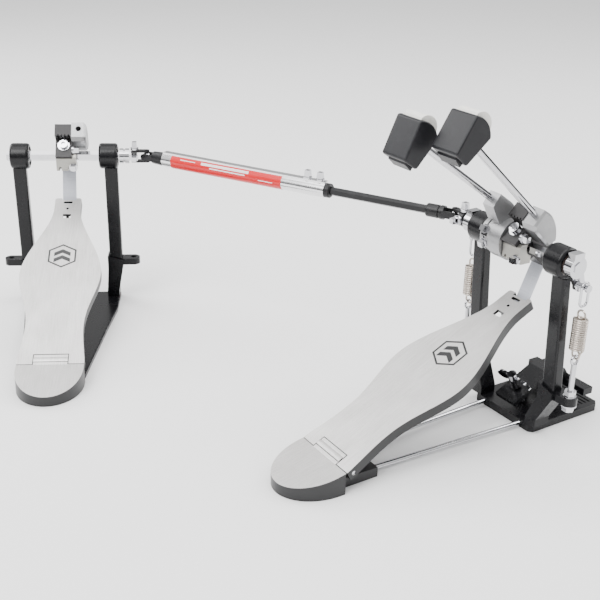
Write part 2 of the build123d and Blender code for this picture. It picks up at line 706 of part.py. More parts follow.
def make_lever(side):
    """Spring lever on an axle's end: clamp boss, hanging arm and pin for the spring link."""
    inner = side * LEVER_X
    with BuildPart() as lever:
        bar((inner, 0, AXLE_HEIGHT), (inner + side * 8, 0, AXLE_HEIGHT), 10.0)
        with BuildSketch(Plane.YZ.offset(inner)):
            with BuildLine():
                Polyline(
                    (-8.0, AXLE_HEIGHT),
                    (SPRING_Y - 6.0, AXLE_HEIGHT - LEVER_PIN_DROP),
                    (SPRING_Y + 6.0, AXLE_HEIGHT - LEVER_PIN_DROP),
                    (9.0, AXLE_HEIGHT + 2),
                    close=True,
                )
            make_face()
            with Locations((SPRING_Y, AXLE_HEIGHT - LEVER_PIN_DROP)):
                Circle(6.0)
        extrude(amount=side * LEVER_THICKNESS)
        block_low, block_high = sorted((inner, inner + side * 8))
        block((block_low, -6, AXLE_HEIGHT + 6), (block_high, 6, AXLE_HEIGHT + 13))
        pin_z = AXLE_HEIGHT - LEVER_PIN_DROP
        bar((inner, SPRING_Y, pin_z), (side * (SPRING_X + 3.5), SPRING_Y, pin_z), LEVER_PIN_RADIUS)
        bar((side * (SPRING_X + 2.5), SPRING_Y, pin_z), (side * (SPRING_X + 4.5), SPRING_Y, pin_z), 3.6)
        hex_bar((inner, 0, AXLE_HEIGHT), (inner + side * 8, 0, AXLE_HEIGHT), AXLE_FLATS, Mode.SUBTRACT)
    return lever.part


def make_link(side):
    """Closed wire loop between the lever's pin and the spring's upper ring."""
    top = AXLE_HEIGHT - LEVER_PIN_DROP
    low = link_low
    with BuildPart() as link:
        with BuildLine() as path:
            left = Line(
                (side * SPRING_X, SPRING_Y - LINK_HALF, low),
                (side * SPRING_X, SPRING_Y - LINK_HALF, top),
            )
            over = ThreePointArc(
                left @ 1,
                (side * SPRING_X, SPRING_Y, top + LINK_HALF),
                (side * SPRING_X, SPRING_Y + LINK_HALF, top),
            )
            right = Line(over @ 1, (side * SPRING_X, SPRING_Y + LINK_HALF, low))
            ThreePointArc(right @ 1, (side * SPRING_X, SPRING_Y, low - LINK_HALF), left @ 0)
        with BuildSketch(Plane(origin=left @ 0.5, z_dir=left % 0.5)):
            Circle(LINK_WIRE)
        sweep(path=path.wires()[0])
    return link.part


def make_spring(side):
    """Return spring: coils on a common axis with a hook ring at each end."""
    low = EYE_Z + 2 * RING_RADIUS + 2.0
    top = low + COIL_PITCH * COIL_TURNS
    x = side * SPRING_X
    with BuildPart() as spring:
        with BuildLine():
            turns = Helix(COIL_PITCH, COIL_PITCH * COIL_TURNS, COIL_RADIUS, center=(x, SPRING_Y, low))
        with BuildSketch(Plane(origin=turns @ 0, z_dir=turns % 0)):
            Circle(COIL_WIRE)
        sweep(path=turns)
        for end, z in ((turns @ 0, EYE_Z + 1.35 * RING_RADIUS), (turns @ 1, top + RING_RADIUS * 0.8)):
            with Locations(Location((x, SPRING_Y, z), (90, 0, 0))):
                Torus(RING_RADIUS, COIL_WIRE)
            bar(end, (x + RING_RADIUS, SPRING_Y, z), COIL_WIRE * 0.98)
    return spring.part


def make_eye_bolts():
    """Eye bolts with their upper and lower nuts, one pair on each upright's ear."""
    with BuildPart() as bolts:
        for side in (-1, 1):
            x = side * SPRING_X
            bar((x, SPRING_Y, 37), (x, SPRING_Y, EYE_Z - RING_RADIUS + 0.4), BOLT_RADIUS)
            with Locations(Location((x, SPRING_Y, EYE_Z), (0, 90, 0))):
                Torus(RING_RADIUS, LINK_WIRE)
            hex_bar((x, SPRING_Y, EAR_TOP + 1.2), (x, SPRING_Y, EAR_TOP + 6.2), 9.5)
            bar((x, SPRING_Y, EAR_TOP), (x, SPRING_Y, EAR_TOP + 1.2), 6.0)
            ear_low = EAR_TOP - EAR_THICKNESS
            bar((x, SPRING_Y, ear_low - 1.4), (x, SPRING_Y, ear_low), 7.4)
            hex_bar((x, SPRING_Y, ear_low - 6.4), (x, SPRING_Y, ear_low - 1.4), 10.0)
    return bolts.part


def write_beater(side_name, x, tilt, reach, foot):
    """Write one beater: shaft, moulded head and felt striking face."""
    far = reach - HEAD_HEIGHT / 2
    head_plane = hub_plane(x - HEAD_WIDTH / 2, tilt)
    with BuildPart() as shaft:
        bar(hub_point(x, SHAFT_OFFSET, foot, tilt), hub_point(x, SHAFT_OFFSET, far, tilt), SHAFT_RADIUS)
    with BuildPart() as head:
        with BuildSketch(head_plane):
            with BuildLine():
                top = Line((SHAFT_OFFSET - 22, reach - 6.2), (SHAFT_OFFSET + 12.5, reach))
                nose = ThreePointArc(
                    top @ 1, (SHAFT_OFFSET + 15.8, reach - 12), (SHAFT_OFFSET + 9, reach - HEAD_HEIGHT)
                )
                Polyline(nose @ 1, (SHAFT_OFFSET - 22, reach - HEAD_HEIGHT + 4), top @ 0)
            make_face()
        extrude(amount=HEAD_WIDTH)
        fillet(head.edges().filter_by(Axis.X), 2.5)
        fillet(head.faces().sort_by(Axis.X)[0].edges(), 1.6)
        fillet(head.faces().sort_by(Axis.X)[-1].edges(), 1.6)
        with BuildSketch(hub_plane(x - PANEL_WIDTH / 2, tilt)):
            Polygon(
                (SHAFT_OFFSET - 20, reach - HEAD_HEIGHT + 5.5),
                (SHAFT_OFFSET - 22 - PANEL_PROUD, reach - HEAD_HEIGHT + 5.5),
                (SHAFT_OFFSET - 22 - PANEL_PROUD / 2, reach - 12.5),
                (SHAFT_OFFSET - 20, reach - 10.5),
                align=None,
            )
        extrude(amount=PANEL_WIDTH)
        bar(hub_point(x, SHAFT_OFFSET, foot, tilt), hub_point(x, SHAFT_OFFSET, far, tilt), SHAFT_RADIUS,
            Mode.SUBTRACT)
    with BuildPart() as felt:
        with BuildSketch(hub_plane(x - FELT_WIDTH / 2, tilt)):
            with BuildLine():
                back = Line((SHAFT_OFFSET + 6, reach - HEAD_HEIGHT + 3), (SHAFT_OFFSET + 6, reach - 2.5))
                Line(back @ 1, (SHAFT_OFFSET + 16, reach - 2.5))
                ThreePointArc(
                    (SHAFT_OFFSET + 16, reach - 2.5),
                    (SHAFT_OFFSET + 15.6 + FELT_PROUD, reach - HEAD_HEIGHT / 2),
                    (SHAFT_OFFSET + 13, reach - HEAD_HEIGHT + 3),
                )
                Line((SHAFT_OFFSET + 13, reach - HEAD_HEIGHT + 3), back @ 0)
            make_face()
        extrude(amount=FELT_WIDTH)
        add(head.part, mode=Mode.SUBTRACT)
    keep(f"beater_shaft_{side_name}", shaft.part, primary_place)
    keep(f"beater_head_{side_name}", head.part, primary_place)
    felt_solid = max(felt.part.solids(), key=lambda solid: solid.volume)
    keep(f"beater_felt_{side_name}", felt_solid, primary_place)


def make_left_hub():
    """Left beater hub: drum about the axle with a fan-shaped beater socket."""
    with BuildPart() as hub:
        bar((LEFT_HUB_INNER, 0, AXLE_HEIGHT), (LEFT_HUB_SPLIT, 0, AXLE_HEIGHT), LEFT_HUB_RADIUS)
        with BuildSketch(hub_plane(LEFT_BEATER_X - 7, LEFT_TILT)):
            Polygon(
                (2, 4),
                (25, 4),
                (28, 20),
                (28, LEFT_SOCKET_TOP),
                (14, LEFT_SOCKET_TOP),
                (6, 22),
                align=None,
            )
        extrude(amount=14)
        bar((LEFT_HUB_SPLIT - 10, 0, AXLE_HEIGHT), (LEFT_HUB_SPLIT, 0, AXLE_HEIGHT), LEFT_HUB_RADIUS + 4,
            Mode.SUBTRACT)
        bar((LEFT_HUB_INNER + 1, 0, AXLE_HEIGHT), (AXLE_SPLIT - 2, 0, AXLE_HEIGHT), 6.4, Mode.SUBTRACT)
        hex_bar((AXLE_SPLIT - 2, 0, AXLE_HEIGHT), (LEFT_HUB_SPLIT - 1, 0, AXLE_HEIGHT), AXLE_FLATS,
                Mode.SUBTRACT)
        bar(
            hub_point(LEFT_BEATER_X, SHAFT_OFFSET, LEFT_SOCKET_TOP - SOCKET_DEPTH, LEFT_TILT),
            hub_point(LEFT_BEATER_X, SHAFT_OFFSET, LEFT_SOCKET_TOP + 1, LEFT_TILT),
            SHAFT_RADIUS,
            Mode.SUBTRACT,
        )
    return hub.part


def make_left_collar():
    """Clamp collar beside the left hub, with a square screw recess and two clamp screws' bores."""
    with BuildPart() as collar:
        bar((LEFT_HUB_SPLIT, 0, AXLE_HEIGHT), (LEFT_HUB_OUTER, 0, AXLE_HEIGHT), LEFT_HUB_RADIUS - 1.5)
        chamfer(collar.edges().filter_by(GeomType.CIRCLE).sort_by(Axis.X)[0], 1.2)
        middle = (LEFT_HUB_SPLIT + LEFT_HUB_OUTER) / 2
        bar((middle - 1, 0, AXLE_HEIGHT), (middle + 1, 0, AXLE_HEIGHT), LEFT_HUB_RADIUS, Mode.SUBTRACT)
        bar((middle - 1, 0, AXLE_HEIGHT), (middle + 1, 0, AXLE_HEIGHT), LEFT_HUB_RADIUS - 2.5)
        block(
            (middle - 4, -LEFT_HUB_RADIUS, AXLE_HEIGHT + 1),
            (middle + 4, -LEFT_HUB_RADIUS + 5, AXLE_HEIGHT + 9),
            mode=Mode.SUBTRACT,
        )
        hex_bar((LEFT_HUB_OUTER, 0, AXLE_HEIGHT), (LEFT_HUB_SPLIT, 0, AXLE_HEIGHT), AXLE_FLATS, Mode.SUBTRACT)
    return collar.part


def make_left_screws():
    """Key screws of the left collar and of the primary end's axle yoke."""
    sleeve = CROSS_X - FORK_DEPTH - 2.5
    with BuildPart() as screws:
        key_screw((-sleeve, 0, AXLE_HEIGHT + EAR_OUTER + 0.6), (0, 0, 1), shank=1.5)
        key_screw((-sleeve, -EAR_OUTER - 0.6, AXLE_HEIGHT), (0, -1, 0), shank=1.5)
        middle = (LEFT_HUB_SPLIT + LEFT_HUB_OUTER) / 2
        rim = LEFT_HUB_RADIUS - 2.5
        for angle in (66, 108):
            out = Vector(0, -sin(radians(angle)), cos(radians(angle)))
            key_screw(Vector(middle, 0, AXLE_HEIGHT) + out * rim, out, head=6.5, shank=1.0)
    return screws.part


def make_right_screws():
    """Clamp bolt and key screws of the primary strap cam."""
    with BuildPart() as screws:
        add_hub_screws(RIGHT_TILT)
    return screws.part


# ---- drive linkage, along +X from the primary end's joint ---------------------------------
def make_drive_rod():
    """Hexagonal inner rod of the telescopic shaft."""
    with BuildPart() as rod:
        hex_bar((BARREL_END, 0, 0), (ROD_TO, 0, 0), ROD_FLATS)
    return rod.part


def make_drive_tube():
    """Polished outer tube with a raised flat rib along it."""
    bore = ROD_FLATS / 2 / cos(radians(30)) + GAP
    with BuildPart() as tube:
        bar((TUBE_FROM, 0, 0), (TUBE_TO, 0, 0), TUBE_RADIUS)
        block((TUBE_FROM, -4, TUBE_RADIUS - 2), (TUBE_TO, 4, TUBE_RADIUS + 1))
        bar((TUBE_FROM - 1, 0, 0), (TUBE_TO - 12, 0, 0), bore, Mode.SUBTRACT)
    return tube.part


def make_tube_cap():
    """Moulded end cap of the outer tube, which guides the rod."""
    bore = ROD_FLATS / 2 / cos(radians(30)) + RUN
    with BuildPart() as cap:
        bar((TUBE_FROM - CAP_LENGTH, 0, 0), (TUBE_FROM, 0, 0), TUBE_RADIUS - 0.6)
        chamfer(cap.edges().filter_by(GeomType.CIRCLE).sort_by(Axis.X)[0], 1.0)
        bar((TUBE_FROM - CAP_LENGTH, 0, 0), (TUBE_FROM, 0, 0), bore, Mode.SUBTRACT)
    return cap.part


def make_tube_screws():
    """Two key screws that clamp the telescopic shaft at its set length."""
    with BuildPart() as screws:
        for along in (TUBE_FROM + 7.5, TUBE_FROM + 22.5):
            key_screw((along, 0, TUBE_RADIUS + 1), (0, 0, 1), shank=1.0)
    return screws.part


def make_far_yoke():
    """Tapering yoke fixed in the auxiliary end of the tube, modelled about its own joint."""
    with BuildPart() as yoke:
        with BuildSketch(Plane.YZ.offset(FORK_DEPTH)) as root:
            Circle(EAR_OUTER)
        with BuildSketch(Plane.YZ.offset(link_length - TUBE_TO)) as seat:
            Circle(TUBE_RADIUS - 0.4)
        loft([root.sketch, seat.sketch])
        add_shaft_fork()
    return yoke.part


def make_near_yoke():
    """Barrel yoke on the primary end of the inner rod."""
    with BuildPart() as yoke:
        bar((FORK_DEPTH, 0, 0), (FORK_DEPTH + 4, 0, 0), EAR_OUTER)
        bar((FORK_DEPTH + 4, 0, 0), (FORK_DEPTH + 6, 0, 0), EAR_OUTER - 1.4)
        bar((FORK_DEPTH + 6, 0, 0), (BARREL_END, 0, 0), BARREL_RADIUS)
        fillet(yoke.edges().filter_by(GeomType.CIRCLE).sort_by(Axis.X)[-1], 1.5)
        add_shaft_fork()
    return yoke.part


def add_shaft_fork():
    """Two ears and pin stubs about the origin, opening towards -X."""
    for out in (-1, 1):
        low, high = sorted((out * EAR_INNER, out * EAR_OUTER))
        block((0, low, -EAR_ROUND), (FORK_DEPTH + 1, high, EAR_ROUND))
        bar((0, low, 0), (0, high, 0), EAR_ROUND)
        bar((0, out * (SPIDER_RADIUS + GAP), 0), (0, out * (EAR_OUTER + 0.5), 0), PIN_RADIUS)


# ---- auxiliary pedal ----------------------------------------------------------------------
def make_aux_base():
    """Long floor plate under the auxiliary pedal, tapering back to the heel."""
    with BuildPart() as base:
        with BuildSketch():
            with BuildLine():
                Polyline(
                    (0, 16),
                    (AUX_PLATE_HALF, 16),
                    (AUX_PLATE_HALF - 0.6, -33),
                    (46.7, -86),
                    (33.5, HINGE_Y + 9),
                    (30, HINGE_Y + 2),
                    (0, HINGE_Y + 2),
                )
                mirror(about=Plane.YZ)
            make_face()
        extrude(amount=AUX_PLATE)
        chamfer(base.faces().sort_by(Axis.Z)[-1].edges().filter_by(GeomType.LINE), 1.0)
        for y in (-30, -95):
            with Locations((0, y, AUX_PLATE)):
                CounterSinkHole(2.4, 4.6, AUX_PLATE)
    return base.part


def make_aux_axle():
    """Auxiliary pedal's hexagonal axle, from its left end to the drive yoke."""
    with BuildPart() as axle:
        hex_bar((-64.4, 0, AXLE_HEIGHT), (CROSS_X - FORK_DEPTH - 1, 0, AXLE_HEIGHT), AXLE_FLATS)
        for side in (-1, 1):
            bar((side * HOUSING_INNER, 0, AXLE_HEIGHT), (side * (HOUSING_OUTER + 1), 0, AXLE_HEIGHT),
                JOURNAL_RADIUS)
    return axle.part


def make_aux_collar():
    """Grooved clamp collar outside the auxiliary pedal's right bearing."""
    with BuildPart() as collar:
        bar((HOUSING_OUTER + 2, 0, AXLE_HEIGHT), (HOUSING_OUTER + 13, 0, AXLE_HEIGHT), 8.6)
        bar((HOUSING_OUTER + 6.5, 0, AXLE_HEIGHT), (HOUSING_OUTER + 8.5, 0, AXLE_HEIGHT), 9.5, Mode.SUBTRACT)
        bar((HOUSING_OUTER + 6.5, 0, AXLE_HEIGHT), (HOUSING_OUTER + 8.5, 0, AXLE_HEIGHT), 7.4)
        hex_bar(
            (HOUSING_OUTER, 0, AXLE_HEIGHT),
            (HOUSING_OUTER + 14, 0, AXLE_HEIGHT),
            AXLE_FLATS,
            Mode.SUBTRACT,
        )
    return collar.part


def make_aux_screws():
    """Clamp bolt and key screws of the auxiliary cam, and the two key screws of the axle yoke."""
    sleeve = CROSS_X - FORK_DEPTH - 2.5
    with BuildPart() as screws:
        add_hub_screws(AUX_TILT)
        key_screw((sleeve, 0, AXLE_HEIGHT + EAR_OUTER + 0.6), (0, 0, 1), shank=1.5)
        key_screw((sleeve, -EAR_OUTER - 0.6, AXLE_HEIGHT), (0, -1, 0), shank=1.5)
    return screws.part


# ---- write every piece ---------------------------------------------------------------------
os.makedirs("parts", exist_ok=True)

primary_feet = (BASE_HALF + 4, FOOT_INNER, BASE_THICKNESS)
make_base_frame("primary", primary_place, 0.0, primary_feet, has_rods=True)
aux_feet = (POST_INNER + POST_WIDTH - 5, POST_INNER - 4, AUX_PLATE)
make_base_frame("aux", aux_place, AUX_PLATE, aux_feet, has_rods=False)

keep("primary_base_plate", make_primary_base(), primary_place)
with BuildPart() as rods:
    for hand in (-1, 1):
        bar(*radius_rod_run(hand), ROD_RADIUS)
keep("radius_rods", rods.part, primary_place)
with BuildPart() as jaw_pin:
    bar((-LUG_X - 3, PIVOT_Y, PIVOT_Z), (LUG_X + 3, PIVOT_Y, PIVOT_Z), JAW_PIN_RADIUS)
keep("hoop_jaw_pin", jaw_pin.part, primary_place)
keep("hoop_jaw", make_jaw(), primary_place)
keep("wing_screw", make_wing_screw(), primary_place)
keep("spring_eye_bolts", make_eye_bolts(), primary_place)

keep("primary_axle", make_primary_axle(), primary_place)
keep("primary_strap_cam", make_cam(RIGHT_TILT), primary_place)
keep("primary_beater_holder", make_holder(RIGHT_TILT), primary_place)
keep("primary_cam_clamp", make_cam_clamp(RIGHT_TILT), primary_place)
keep("primary_hub_screws", make_right_screws(), primary_place)
holder_x = CAM_INNER + CAM_WIDTH + HOLDER_WIDTH / 2
write_beater("right", holder_x, RIGHT_TILT, BEATER_REACH, SOCKET_TOP - SOCKET_DEPTH)

keep("left_stub_axle", make_stub_axle(), primary_place)
keep("left_beater_hub", make_left_hub(), primary_place)
keep("left_hub_collar", make_left_collar(), primary_place)
keep("left_drive_screws", make_left_screws(), primary_place)
keep("left_axle_yoke", make_axle_yoke(-1), primary_place)
write_beater("left", LEFT_BEATER_X, LEFT_TILT, LEFT_REACH, LEFT_SOCKET_TOP - SOCKET_DEPTH)

for side_name, hand in (("right", 1), ("left", -1)):
    keep(f"spring_lever_{side_name}", make_lever(hand), primary_place)
    keep(f"spring_link_{side_name}", make_link(hand), primary_place)
    keep(f"return_spring_{side_name}", make_spring(hand), primary_place)

far_end = Location((link_length, 0, 0), (0, 0, 180))
keep("near_spider", make_spider(), link_place)
keep("near_shaft_yoke", make_near_yoke(), link_place)
keep("drive_rod", make_drive_rod(), link_place)
keep("drive_tube", make_drive_tube(), link_place)
keep("drive_tube_cap", make_tube_cap(), link_place)
keep("drive_tube_screws", make_tube_screws(), link_place)
keep("far_shaft_yoke", make_far_yoke(), link_place * far_end)
keep("far_spider", make_spider(), link_place * far_end)

keep("aux_base_plate", make_aux_base(), aux_place)
keep("aux_axle", make_aux_axle(), aux_place)
keep("aux_axle_collar", make_aux_collar(), aux_place)
keep("aux_strap_cam", make_cam(AUX_TILT), aux_place)
keep("aux_beater_holder", make_holder(AUX_TILT), aux_place)
keep("aux_cam_clamp", make_cam_clamp(AUX_TILT), aux_place)
keep("aux_hub_screws", make_aux_screws(), aux_place)
keep("aux_axle_yoke", make_axle_yoke(1), aux_place)
print("strap pin", strap_pin, "lean", degrees(strap_lean), "free", strap_free)
print("link length", link_length, "turn", link_turn)
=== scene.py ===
"""Looks of the double bass drum pedal: finishes, inlays, label, straps, seals, light and camera."""

import json
from math import atan2, cos, pi, radians, sin

import bmesh
import bpy
from mathutils import Matrix, Vector


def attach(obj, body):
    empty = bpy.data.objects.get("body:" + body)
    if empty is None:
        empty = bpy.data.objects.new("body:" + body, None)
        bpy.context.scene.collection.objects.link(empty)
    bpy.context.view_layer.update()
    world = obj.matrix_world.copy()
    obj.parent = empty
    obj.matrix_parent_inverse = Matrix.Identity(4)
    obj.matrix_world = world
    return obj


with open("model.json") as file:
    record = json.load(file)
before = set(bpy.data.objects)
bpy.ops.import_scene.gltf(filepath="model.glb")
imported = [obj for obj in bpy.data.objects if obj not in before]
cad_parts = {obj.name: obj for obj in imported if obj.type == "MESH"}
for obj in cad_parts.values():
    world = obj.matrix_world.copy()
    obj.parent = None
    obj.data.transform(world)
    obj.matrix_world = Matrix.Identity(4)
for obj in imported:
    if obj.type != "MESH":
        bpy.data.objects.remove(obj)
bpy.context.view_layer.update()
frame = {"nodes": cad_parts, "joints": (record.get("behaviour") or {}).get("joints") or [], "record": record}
nodes = frame["nodes"]
MM = 0.001


# ---- places taken from the frame ------------------------------------------------------------
def joint(name):
    """Joint of that name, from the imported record."""
    return next(entry for entry in frame["joints"] if entry["name"] == name)


primary_axis = Vector(joint("primary_beater_swing")["pos_m"])
aux_axis = Vector(joint("aux_axle_turn")["pos_m"])
aux_across = -Vector(joint("aux_axle_turn")["axis"])
aux_turn = atan2(aux_across.y, aux_across.x)
near_joint = Vector(joint("rod_spin")["pos_m"])
shaft_way = Vector(joint("tube_spin")["axis"])
shaft_turn = atan2(shaft_way.y, shaft_way.x)

PRIMARY = Matrix.Translation((primary_axis.x, primary_axis.y, 0))
AUX = Matrix.Translation((aux_axis.x, aux_axis.y, 0)) @ Matrix.Rotation(aux_turn, 4, "Z")
SHAFT = Matrix.Translation(near_joint) @ Matrix.Rotation(shaft_turn, 4, "Z")
AXLE_HEIGHT = primary_axis.z

BOARD_ANGLE = radians(26)
HINGE_Y = -210 * MM
HINGE_Z = 21 * MM
RELIEF_DEPTH = 0.0002        # height of the finest surface bumps, m

MARK_ALONG = 150.3 * MM      # centre of the inlay, from the hinge
MARK_LIFT = 0.02 * MM
MARK_PROUD = 0.12 * MM
MARK_SIDES = 6
MARK_OUTER = 17.6 * MM
MARK_INNER = 15.4 * MM
CHEVRON_LOWS = (-9.5, -0.5)

WRAP_INNER = 30.2 * MM       # strap lying on the cam
WRAP_OUTER = 31.2 * MM
WRAP_LEFT = -6.75 * MM
WRAP_RIGHT = 8.75 * MM
WRAP_START = radians(-23)
WRAP_END = radians(62)

SEAL_FACES = (-59.6, -40.6, 40.6, 59.6)
SEAL_HALF = 0.3
SEAL_INNER = 7.4 * MM
SEAL_OUTER = 8.8 * MM
SEAL_END_GAP = 0.001         # keeps the two ends of a full ring apart, radians

TUBE_RADIUS = 8.25 * MM
FILM = 0.1 * MM
LABEL_FROM = 195 * MM
LABEL_TO = 339 * MM
LABEL_START = radians(-205)
LABEL_END = radians(62)
LABEL_BARS = (               # start, length, lowest and highest angle
    (236, 62, 27, 47),
    (240, 46, 8, 17),
    (205, 18, -8, -2),
    (306, 20, 34, 40),
)

SEAM_HEIGHT = 0.3 * MM
SEAM_EDGE = 33.6

FLOOR_SIZE = 12
FLOOR_DROP = 0.0002
LIGHT_TARGET = (-0.2, -0.15, 0.1)
LENS = 60.94
SENSOR = 36
CAMERA_X, CAMERA_AHEAD, CAMERA_Z = 0.6228, -0.6445, 0.4981
HEADING, DIP, ROLL = radians(56.97), radians(23.52), radians(1.49)

BOARD = Matrix.Translation((0, HINGE_Y, HINGE_Z)) @ Matrix.Rotation(BOARD_ANGLE, 4, "X")


# ---- shader groups --------------------------------------------------------------------------
def new_group(name, inputs, outputs):
    """Shader group with named sockets; inputs and outputs are (name, type, default) rows."""
    group = bpy.data.node_groups.new(name, "ShaderNodeTree")
    for label, kind, value in inputs:
        socket = group.interface.new_socket(label, in_out="INPUT", socket_type=kind)
        if value is not None:
            socket.default_value = value
    for label, kind in outputs:
        group.interface.new_socket(label, in_out="OUTPUT", socket_type=kind)
    return group, group.nodes.new("NodeGroupInput"), group.nodes.new("NodeGroupOutput")


def build_fine_relief():
    """Small bumps of a cast, powder coated or moulded surface."""
    group, given, result = new_group(
        "fine_relief",
        [("Vector", "NodeSocketVector", None), ("Scale", "NodeSocketFloat", 900.0),
         ("Strength", "NodeSocketFloat", 0.2), ("Depth", "NodeSocketFloat", RELIEF_DEPTH)],
        [("Value", "NodeSocketFloat"), ("Normal", "NodeSocketVector")],
    )
    noise = group.nodes.new("ShaderNodeTexNoise")
    noise.inputs["Detail"].default_value = 4
    noise.inputs["Roughness"].default_value = 0.6
    bump = group.nodes.new("ShaderNodeBump")
    link = group.links.new
    link(given.outputs["Vector"], noise.inputs["Vector"])
    link(given.outputs["Scale"], noise.inputs["Scale"])
    link(noise.outputs["Fac"], bump.inputs["Height"])
    link(given.outputs["Strength"], bump.inputs["Strength"])
    link(given.outputs["Depth"], bump.inputs["Distance"])
    link(noise.outputs["Fac"], result.inputs["Value"])
    link(bump.outputs["Normal"], result.inputs["Normal"])
    return group


def build_brush_lines():
    """Long fine lines: noise that is stretched along one direction."""
    group, given, result = new_group(
        "brush_lines",
        [("Vector", "NodeSocketVector", None), ("Stretch", "NodeSocketVector", (1500.0, 25.0, 25.0))],
        [("Value", "NodeSocketFloat")],
    )
    stretch = group.nodes.new("ShaderNodeVectorMath")
    stretch.operation = "MULTIPLY"
    noise = group.nodes.new("ShaderNodeTexNoise")
    noise.inputs["Scale"].default_value = 1.0
    noise.inputs["Detail"].default_value = 3
    link = group.links.new
    link(given.outputs["Vector"], stretch.inputs[0])
    link(given.outputs["Stretch"], stretch.inputs[1])
    link(stretch.outputs["Vector"], noise.inputs["Vector"])
    link(noise.outputs["Fac"], result.inputs["Value"])
    return group


def build_handling_marks():
    """Sparse scuffs: a sharpened noise, high only in small patches."""
    group, given, result = new_group(
        "handling_marks",
        [("Vector", "NodeSocketVector", None), ("Scale", "NodeSocketFloat", 60.0),
         ("Amount", "NodeSocketFloat", 0.4)],
        [("Mask", "NodeSocketFloat")],
    )
    noise = group.nodes.new("ShaderNodeTexNoise")
    noise.inputs["Detail"].default_value = 6
    noise.inputs["Roughness"].default_value = 0.7
    sharpen = group.nodes.new("ShaderNodeMapRange")
    sharpen.inputs["From Min"].default_value = 0.52
    sharpen.inputs["From Max"].default_value = 0.78
    scaled = group.nodes.new("ShaderNodeMath")
    scaled.operation = "MULTIPLY"
    link = group.links.new
    link(given.outputs["Vector"], noise.inputs["Vector"])
    link(given.outputs["Scale"], noise.inputs["Scale"])
    link(noise.outputs["Fac"], sharpen.inputs["Value"])
    link(sharpen.outputs["Result"], scaled.inputs[0])
    link(given.outputs["Amount"], scaled.inputs[1])
    link(scaled.outputs["Value"], result.inputs["Mask"])
    return group


def build_upward_mask():
    """One on faces that look up and stand above a height, zero on sides and below."""
    group, given, result = new_group(
        "upward_mask",
        [("Height", "NodeSocketFloat", 0.01)],
        [("Mask", "NodeSocketFloat")],
    )
    link = group.links.new
    geometry = group.nodes.new("ShaderNodeNewGeometry")
    facing = group.nodes.new("ShaderNodeSeparateXYZ")
    place = group.nodes.new("ShaderNodeSeparateXYZ")
    coords = group.nodes.new("ShaderNodeTexCoord")
    up = group.nodes.new("ShaderNodeMath")
    up.operation = "GREATER_THAN"
    up.inputs[1].default_value = 0.7
    above = group.nodes.new("ShaderNodeMath")
    above.operation = "GREATER_THAN"
    both = group.nodes.new("ShaderNodeMath")
    both.operation = "MULTIPLY"
    link(geometry.outputs["True Normal"], facing.inputs["Vector"])
    link(coords.outputs["Object"], place.inputs["Vector"])
    link(facing.outputs["Z"], up.inputs[0])
    link(place.outputs["Z"], above.inputs[0])
    link(given.outputs["Height"], above.inputs[1])
    link(up.outputs["Value"], both.inputs[0])
    link(above.outputs["Value"], both.inputs[1])
    link(both.outputs["Value"], result.inputs["Mask"])
    return group


fine_relief = build_fine_relief()
brush_lines = build_brush_lines()
handling_marks = build_handling_marks()
upward_mask = build_upward_mask()


# ---- materials ------------------------------------------------------------------------------
class Finish:
    """A material being made: its Principled shader and short ways to add nodes."""

    def __init__(self, name, color, metallic, roughness):
        self.material = bpy.data.materials.new(name)
        self.material.use_nodes = True
        self.tree = self.material.node_tree
        self.shader = self.tree.nodes["Principled BSDF"]
        self.shader.inputs["Base Color"].default_value = (*color, 1)
        self.shader.inputs["Metallic"].default_value = metallic
        self.shader.inputs["Roughness"].default_value = roughness
        self.place = self.tree.nodes.new("ShaderNodeTexCoord").outputs["Object"]

    def link(self, output, socket):
        """Join an output to an input."""
        self.tree.links.new(output, socket)

    def turned(self, angle):
        """Object coordinates, turned about the vertical to lie along a pedal."""
        mapping = self.tree.nodes.new("ShaderNodeMapping")
        mapping.vector_type = "TEXTURE"
        mapping.inputs["Rotation"].default_value = (0, 0, angle)
        self.link(self.place, mapping.inputs["Vector"])
        return mapping.outputs["Vector"]

    def effect(self, group, vector=None, **values):
        """Place a shader group, feed it coordinates and set its values."""
        node = self.tree.nodes.new("ShaderNodeGroup")
        node.node_tree = group
        if "Vector" in node.inputs:
            self.link(vector or self.place, node.inputs["Vector"])
        for label, value in values.items():
            node.inputs[label].default_value = value
        return node

    def color_mix(self, mask, low, high):
        """Colour that goes from low to high with the mask; either may be a socket."""
        mix = self.tree.nodes.new("ShaderNodeMix")
        mix.data_type = "RGBA"
        self.link(mask, mix.inputs[0])
        for socket, value in ((mix.inputs[6], low), (mix.inputs[7], high)):
            if isinstance(value, tuple):
                socket.default_value = (*value, 1)
            else:
                self.link(value, socket)
        return mix.outputs[2]

    def value_mix(self, mask, low, high):
        """Number that goes from low to high with the mask; either may be a socket."""
        mix = self.tree.nodes.new("ShaderNodeMix")
        self.link(mask, mix.inputs[0])
        for socket, value in ((mix.inputs[2], low), (mix.inputs[3], high)):
            if isinstance(value, (int, float)):
                socket.default_value = value
            else:
                self.link(value, socket)
        return mix.outputs[0]

    def math(self, operation, first, second):
        """Sum, product or other operation on two numbers or sockets."""
        node = self.tree.nodes.new("ShaderNodeMath")
        node.operation = operation
        for socket, value in ((node.inputs[0], first), (node.inputs[1], second)):
            if isinstance(value, (int, float)):
                socket.default_value = value
            else:
                self.link(value, socket)
        return node.outputs[0]

    def wire(self, label, output):
        """Feed an output into the shader's input of that name."""
        self.link(output, self.shader.inputs[label])


